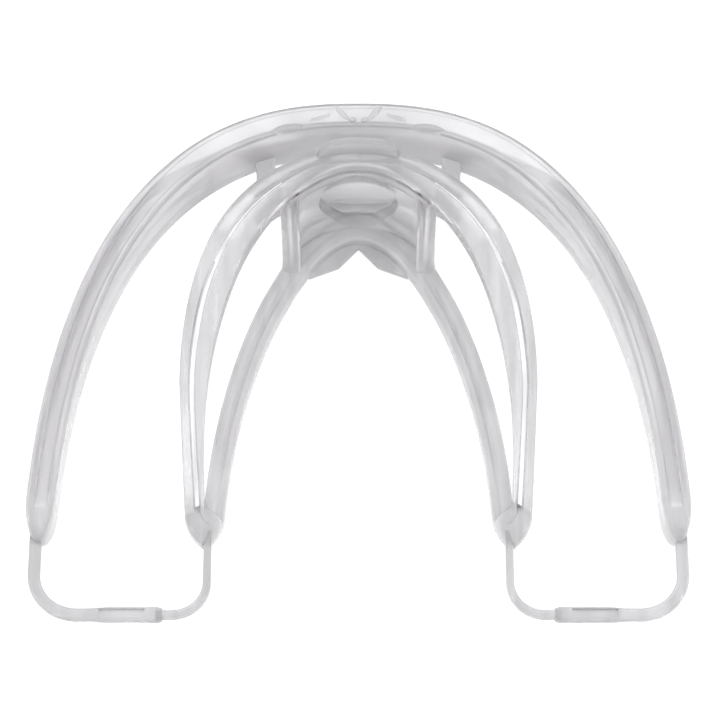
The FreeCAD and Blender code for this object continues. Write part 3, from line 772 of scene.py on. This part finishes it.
def guard_tip(side):
    """The nose that the two rails run into: a web that fills the fork, then a taper to a rounded point."""
    rings = []
    first = TIP_Y + TIP_WEB
    last = TIP_LOW[1]
    middle_x = (TIP_OUTER + LOWER_HALF - LOWER_RAIL_WIDTH) / 2 + 0.1
    half_width = (TIP_OUTER - LOWER_HALF + LOWER_RAIL_WIDTH) / 2
    for share in np.linspace(0, 1, 48):
        y = mix(first, last + 0.02, share)
        grow = float(smooth(0, 1, (first - y) / (first - TIP_Y + 0.3)))
        past = max(0.0, (TIP_Y + 0.3 - y) / (TIP_Y + 0.3 - last))
        nose = (1 - min(past, 1.0) ** 1.7) ** 0.7
        half_x = max(half_width * mix(0.1, 0.99, grow) * nose, 0.08)
        top = rail_height(y, RAIL_HIGH[2], TIP_HIGH[2]) - 0.05
        low = rail_height(y, BAND_LOW[2], TIP_LOW[2]) + 0.1
        middle = (top + low) / 2 + 1.0 * min(past, 1.0) ** 2
        half_z = max((top - low) / 2 * mix(0.35, 1.0, grow) * (0.3 + 0.7 * nose), 0.1)
        half_z = min(half_z, top - middle)
        corners = [(-half_x, -half_z), (-half_x, half_z * 0.35), (half_x * 0.2, half_z), (half_x, half_z)]
        corners += [(half_x, -half_z * 0.1), (0, -half_z)]
        section = rounded(corners, [min(half_x, half_z) * 0.6] * 6)
        x = middle_x + section[:, 0]
        rings.append(np.column_stack([side * x, np.full(len(section), y), middle + section[:, 1]]))
    return loft("tip_form", rings)


def make_guard():
    """The whole tongue guard as one mesh."""
    guard = tongue_plate()
    union(guard, dish_boss())
    union(guard, dish_recess(), operation="DIFFERENCE")
    forms = [upper_rail(), crown_tab(), front_wall(), lower_rail(), skirt(), dish_lens()]
    forms += [strut(-1), strut(1), guard_tip(-1), guard_tip(1)]
    union(guard, *forms)
    guard.name = "tongue_guard_moulding"
    return guard


guard = make_guard()


def bite_post(side):
    """A bar from the guard's wall to the bow, whose ends follow both and flare a little."""
    rings = []
    half_z = (POST_HIGH[2] - POST_LOW[2]) / 2
    middle = (POST_HIGH[2] + POST_LOW[2]) / 2
    wall = guard_outer.line()
    bow_face = arch_inner.line()
    for share in np.linspace(0, 1, 20):
        flare = (abs(share - 0.5) * 2) ** 5
        half_x = POST_HALF_X + 0.4 * flare
        corners = [(-half_x, -half_z), (-half_x, half_z), (half_x, half_z), (half_x, -half_z)]
        section = rounded(corners, [0.4] * 4)
        x = (POST_LOW[0] + POST_HIGH[0]) / 2 + section[:, 0]
        start = np.interp(x, wall[:, 0], wall[:, 1]) - WALL_THICKNESS * 0.6
        finish = np.interp(x, bow_face[:, 0], bow_face[:, 1]) + BOW_WALL * 0.6
        rings.append(np.column_stack([side * x, mix(start, finish, share), middle + section[:, 1]]))
    return loft("post_form", rings)


def pillow(centre, half, turn=0.0):
    """A low rounded swelling: an ellipsoid with half sizes, turned about the vertical."""
    rings = []
    around = np.linspace(0, 2 * pi, 20, endpoint=False)
    for angle in np.linspace(-pi / 2, pi / 2, 13):
        x = np.full(20, half[0] * sin(angle))
        y = half[1] * max(cos(angle), 0.02) * np.cos(around)
        z = half[2] * max(cos(angle), 0.02) * np.sin(around)
        across = centre[0] + (x * cos(turn) - y * sin(turn))
        rings.append(np.column_stack([across, centre[1] + x * sin(turn) + y * cos(turn), centre[2] + z]))
    return loft("pillow_form", rings)


def bow_relief():
    """Low forms on the bow's top: a lens each side, and a V between two beads at the middle."""
    sunk = BOW_HIGH[2] - 0.1
    bead_z = BOW_HIGH[2] - 0.05
    forms = []
    for side in (-1, 1):
        lens = pillow((side * 9.2, 32.2, sunk), (2.1, 0.75, 0.5), -side * 0.2)
        vee = pillow((side * 2.1, 34.6, sunk), (1.5, 0.4, 0.3), side * 0.9)
        bead = pillow((side * 0.75, 33.6, bead_z), (0.4, 0.4, 0.4))
        ridge = pillow((side * 5.0, 33.9, sunk), (1.4, 0.3, 0.2), -side * 0.35)
        forms += [lens, vee, bead, ridge]
    return forms


union(bow, bite_post(-1), bite_post(1), *bow_relief())
for obj in (bow, left_arm, right_arm):
    open_seams(obj)

# ---------------------------------------------------------------- straps


def strap_path(root, bend, end_x, back_y, side, count=60):
    """A strap's middle line: back from its root, round a quarter bend, then across."""
    towards = copysign(1, end_x - abs(root[0]))
    centre = np.array([abs(root[0]) + towards * bend, back_y + bend])
    angles = np.linspace(0, pi / 2, 24)
    arc = np.column_stack([centre[0] - towards * bend * np.cos(angles), centre[1] - bend * np.sin(angles)])
    line = np.vstack([[abs(root[0]), root[1]], arc, [end_x, back_y]])
    line = resample(line, np.linspace(0, lengths(line)[-1], count))
    return line * np.array([side, 1])


def ribbon(name, line, widths, heights):
    """A bar with rounded corners along a line in plan, at mid height."""
    tangent = np.gradient(line, axis=0)
    tangent /= np.linalg.norm(tangent, axis=1)[:, None]
    outward = np.column_stack([-tangent[:, 1], tangent[:, 0]])
    sections = []
    for width, height in zip(widths, heights):
        half = np.array([width, height]) / 2
        corners = [half * sign for sign in ((-1, -1), (-1, 1), (1, 1), (1, -1))]
        sections.append(rounded(corners, [min(width, height) * 0.36] * 4))
    return loft(name, plan_rings(line, outward, sections))


def across_back(side, xs):
    """A straight line at the back, where the strap and its tail lap."""
    return np.column_stack([side * xs, np.full(len(xs), BACK_Y)])


def make_strap(side, word):
    """The strap with its thicker lap, which has a shallow window on top."""
    line = strap_path(STRAP_ROOT, STRAP_BEND, SLEEVE_LOW[0] + 1.0, BACK_Y, side)
    count = len(line)
    strap = ribbon(f"{word}_strap_ribbon", line, np.full(count, STRAP_WIDTH), np.full(count, STRAP_HEIGHT))
    share = np.linspace(0, 1, 40)
    swell = np.minimum(smooth(0, 0.06, share), smooth(0, 0.35, 1 - share))
    lap_line = across_back(side, np.linspace(SLEEVE_LOW[0], SLEEVE_HIGH[0], 40))
    union(strap, ribbon("lap_form", lap_line, mix(*LAP_WIDTHS, swell), mix(*LAP_HEIGHTS, swell)))
    start, end = (mix(SLEEVE_LOW[0], SLEEVE_HIGH[0], place) for place in WINDOW_SPAN)
    window_line = across_back(side, np.linspace(start, end, 12))
    window = ribbon("window_form", window_line, np.full(12, WINDOW_WIDTH), np.full(12, WINDOW_HEIGHT))
    window.location.z = WINDOW_RISE * MM
    bpy.context.view_layer.update()
    return union(strap, window, operation="DIFFERENCE")


def make_tail(side, word):
    """The tail from the guard's tip round to the lap."""
    line = strap_path(TAIL_ROOT, TAIL_BEND, SLEEVE_LOW[0] + 0.8, BACK_Y, side)
    count = len(line)
    widths = mix(*TAIL_WIDTHS, np.linspace(0, 1, count))
    return ribbon(f"{word}_strap_tail_ribbon", line, widths, np.full(count, TAIL_HEIGHT))


straps = {}
for side, word in ((-1, "left"), (1, "right")):
    straps[word] = make_strap(side, word)
    straps[word + "_tail"] = make_tail(side, word)

# ---------------------------------------------------------------- materials


class Wiring:
    """Adds nodes to one material and links them."""

    def __init__(self, material):
        self.nodes = material.node_tree.nodes
        self.links = material.node_tree.links

    def span(self, source, low, high, at_low, at_high):
        """Turn a value between low and high into a smooth change between two numbers."""
        node = self.nodes.new("ShaderNodeMapRange")
        node.interpolation_type = "SMOOTHSTEP"
        node.inputs["From Min"].default_value = low
        node.inputs["From Max"].default_value = high
        node.inputs["To Min"].default_value = at_low
        node.inputs["To Max"].default_value = at_high
        self.links.new(source, node.inputs["Value"])
        return node.outputs["Result"]

    def noise(self, source, stretch):
        """Soft noise with features about 11 mm across, divided by the stretch along each axis."""
        mapping = self.nodes.new("ShaderNodeMapping")
        mapping.inputs["Scale"].default_value = stretch
        self.links.new(source, mapping.inputs["Vector"])
        texture = self.nodes.new("ShaderNodeTexNoise")
        texture.inputs["Scale"].default_value = 90
        texture.inputs["Detail"].default_value = 3
        self.links.new(mapping.outputs["Vector"], texture.inputs["Vector"])
        return texture.outputs["Fac"]

    def blend(self, factor, a, b):
        """a where the factor is 0, b where it is 1."""
        node = self.nodes.new("ShaderNodeMix")
        self.links.new(factor, node.inputs["Factor"])
        self.links.new(a, node.inputs["A"])
        self.links.new(b, node.inputs["B"])
        return node.outputs["Result"]

    def times(self, a, b):
        """a times b, where b is another node's output or a number."""
        node = self.nodes.new("ShaderNodeMath")
        node.operation = "MULTIPLY"
        self.links.new(a, node.inputs[0])
        if isinstance(b, float):
            node.inputs[1].default_value = b
        else:
            self.links.new(b, node.inputs[1])
        return node.outputs["Value"]


# Stretches of y, in metres, over which the look turns from the back's to the front's.
FRONT_SPAN = (0.002, 0.022)
STREAK_SPAN = (0.014, 0.026)
BACK_STREAKS = (9, 0.5, 5)
FRONT_STREAKS = (1.2, 2.5, 2.5)
STREAK_RANGE = (0.9, 1.08)
ABSORBED = (0.72, 0.7, 0.75, 1)
TINT = {"Red": 1.0, "Green": 0.99, "Blue": 1.01}


def clear_plastic(name, shade, milk, roughness, density, solid_from=None):
    """Clear moulded plastic with cloudy streaks and faint waves, and with depth that absorbs light.

    shade is the body's brightness and milk is how much of it is cloudy, each at the back and at the front.
    solid_from is the stretch of y, in metres, over which the solid tips turn cloudier.
    """
    material = bpy.data.materials.new(name)
    material.use_nodes = True
    wiring = Wiring(material)
    nodes = wiring.nodes
    links = wiring.links
    shader = nodes["Principled BSDF"]
    shader.inputs["IOR"].default_value = 1.46
    shader.inputs["Roughness"].default_value = roughness
    depth = nodes.new("ShaderNodeVolumeAbsorption")
    depth.inputs["Color"].default_value = ABSORBED
    depth.inputs["Density"].default_value = density
    links.new(depth.outputs["Volume"], nodes["Material Output"].inputs["Volume"])

    place = nodes.new("ShaderNodeTexCoord").outputs["Object"]
    axes = nodes.new("ShaderNodeSeparateXYZ")
    links.new(place, axes.inputs["Vector"])
    y = axes.outputs["Y"]
    z = axes.outputs["Z"]

    # The streaks run lengthwise along the arms and rails, and are broader at the front.
    lengthwise = wiring.noise(place, BACK_STREAKS)
    crosswise = wiring.noise(place, FRONT_STREAKS)
    grain = wiring.blend(wiring.span(y, *STREAK_SPAN, 0, 1), lengthwise, crosswise)
    bump = nodes.new("ShaderNodeBump")
    bump.inputs["Strength"].default_value = 0.22
    bump.inputs["Distance"].default_value = 0.0003
    links.new(grain, bump.inputs["Height"])
    links.new(bump.outputs["Normal"], shader.inputs["Normal"])
    streak = wiring.span(grain, 0.35, 0.65, *STREAK_RANGE)

    brightness = wiring.times(streak, wiring.span(y, *FRONT_SPAN, *shade))
    # Painted shade: the body darkens towards the bottom, where the lower band and the skirt lie under the
    # plate.
    brightness = wiring.times(brightness, wiring.span(z, -0.009, 0.0, 0.86, 1.0))
    clarity = wiring.times(wiring.span(y, *FRONT_SPAN, 1 - milk[0], 1 - milk[1]), streak)
    if solid_from is not None:
        dull_tip = wiring.span(y, *solid_from, 0.84, 1.0)
        dull_top = wiring.span(z, 0.0015, 0.005, 1.0, 0.85)
        brightness = wiring.times(brightness, wiring.times(dull_tip, dull_top))
        cloudy_tip = wiring.span(y, *solid_from, 0.35, 1.0)
        cloudy_foot = wiring.span(z, -0.006, 0.0005, 0.65, 1.0)
        clarity = wiring.times(clarity, wiring.times(cloudy_tip, cloudy_foot))
    body = nodes.new("ShaderNodeCombineColor")
    for channel, tint in TINT.items():
        links.new(wiring.times(brightness, tint), body.inputs[channel])
    links.new(body.outputs["Color"], shader.inputs["Base Color"])
    links.new(clarity, shader.inputs["Transmission Weight"])
    return material


arch_plastic = clear_plastic(
    "clear_arch_plastic", shade=(0.86, 0.87), milk=(0.42, 0.42), roughness=0.18, density=18,
    solid_from=(-0.025, -0.018),
)
guard_plastic = clear_plastic(
    "clear_guard_plastic", shade=(0.88, 0.94), milk=(0.3, 0.38), roughness=0.16, density=10,
    solid_from=(-0.0235, -0.018),
)
floor_plastic = clear_plastic(
    "thin_floor_plastic", shade=(0.95, 0.95), milk=(0.03, 0.03), roughness=0.05, density=5
)
# Painted highlight: a near-white, cloudy plastic for the slot's shallow start, standing in for the light
# the slot catches.
painted_highlight_plastic = clear_plastic(
    "painted_highlight_slot_plastic", shade=(1.0, 1.0), milk=(0.95, 0.95), roughness=0.1, density=5
)
strap_plastic = clear_plastic(
    "clear_strap_plastic", shade=(0.77, 0.77), milk=(0.5, 0.5), roughness=0.14, density=60
)


def dress(obj, material):
    """Give a piece its plastic and its smooth shading."""
    obj.data.materials.clear()
    obj.data.materials.append(material)
    finish_surface(obj)

for obj in (bow, left_arm, right_arm):
    dress(obj, arch_plastic)
dress(guard, guard_plastic)
dress_slot(guard, floor_plastic, painted_highlight_plastic)
for obj in straps.values():
    dress(obj, strap_plastic)

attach(bow, "frame")
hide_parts("lip_bow", "upper_lip_flange", "lower_lip_flange", "left_bite_post", "right_bite_post")
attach(guard, "frame")
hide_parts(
    "guard_crown", "guard_front_wall", "left_upper_rail", "right_upper_rail", "left_lower_rail",
    "right_lower_rail", "guard_lower_band", "frenum_skirt", "left_plate_strut", "right_plate_strut",
    "tongue_plate", "left_guard_tip", "right_guard_tip",
)
for side, word, arm in ((-1, "left", left_arm), (1, "right", right_arm)):
    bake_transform(arm)
    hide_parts(f"{word}_cheek_arm")
    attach(straps[word], f"{word}_strap_link")
    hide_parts(f"{word}_strap", f"{word}_strap_sleeve")
    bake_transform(straps[word + "_tail"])
    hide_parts(f"{word}_strap_tail")

# ---------------------------------------------------------------- studio
ELEVATION = radians(61.5)
DISTANCE = 0.4
FLOOR_GAP = 0.0005


def white_floor():
    """A wide matt table just under the part, bright enough to show as white."""
    bpy.ops.mesh.primitive_plane_add(size=3, location=(0, 0, SKIRT_LOW[2] * MM - FLOOR_GAP))
    floor = bpy.context.object
    floor.name = "floor"
    white = bpy.data.materials.new("white_floor")
    white.use_nodes = True
    shader = white.node_tree.nodes["Principled BSDF"]
    shader.inputs["Base Color"].default_value = (0.5, 0.5, 0.5, 1)
    shader.inputs["Roughness"].default_value = 0.9
    shader.inputs["Emission Color"].default_value = (1, 1, 1, 1)
    shader.inputs["Emission Strength"].default_value = 0.72
    floor.data.materials.append(white)
    return floor


floor = white_floor()
bpy.context.scene.view_settings.view_transform = "Standard"

world = bpy.data.worlds.new("studio")
bpy.context.scene.world = world
world.use_nodes = True
world.node_tree.nodes["Background"].inputs["Color"].default_value = (1, 1, 1, 1)
world.node_tree.nodes["Background"].inputs["Strength"].default_value = 0.68


def area_light(name, location, size, power):
    """A rectangular light that points at the part."""
    data = bpy.data.lights.new(name, "AREA")
    data.shape = "RECTANGLE"
    data.size = size[0]
    data.size_y = size[1]
    data.energy = power
    light = bpy.data.objects.new(name, data)
    bpy.context.scene.collection.objects.link(light)
    light.location = location
    towards_part = Vector((0, 0, 0)) - Vector(location)
    light.rotation_euler = towards_part.to_track_quat("-Z", "Y").to_euler()


area_light("key", (0.0, 0.3, 0.45), (0.5, 0.06), 0.6)
area_light("side_left", (-0.4, -0.05, 0.3), (0.04, 0.4), 0.5)
area_light("side_right", (0.4, -0.05, 0.3), (0.04, 0.4), 0.5)

camera_data = bpy.data.cameras.new("camera")
camera = bpy.data.objects.new("camera", camera_data)
bpy.context.scene.collection.objects.link(camera)
camera_data.sensor_width = 36
camera_data.lens = 158
camera_data.clip_end = 10
camera_data.shift_x = 0.0021
camera.location = (0.0, -DISTANCE * cos(ELEVATION), DISTANCE * sin(ELEVATION))
camera.rotation_euler = (pi / 2 - ELEVATION, 0, 0)
bpy.context.scene.camera = camera
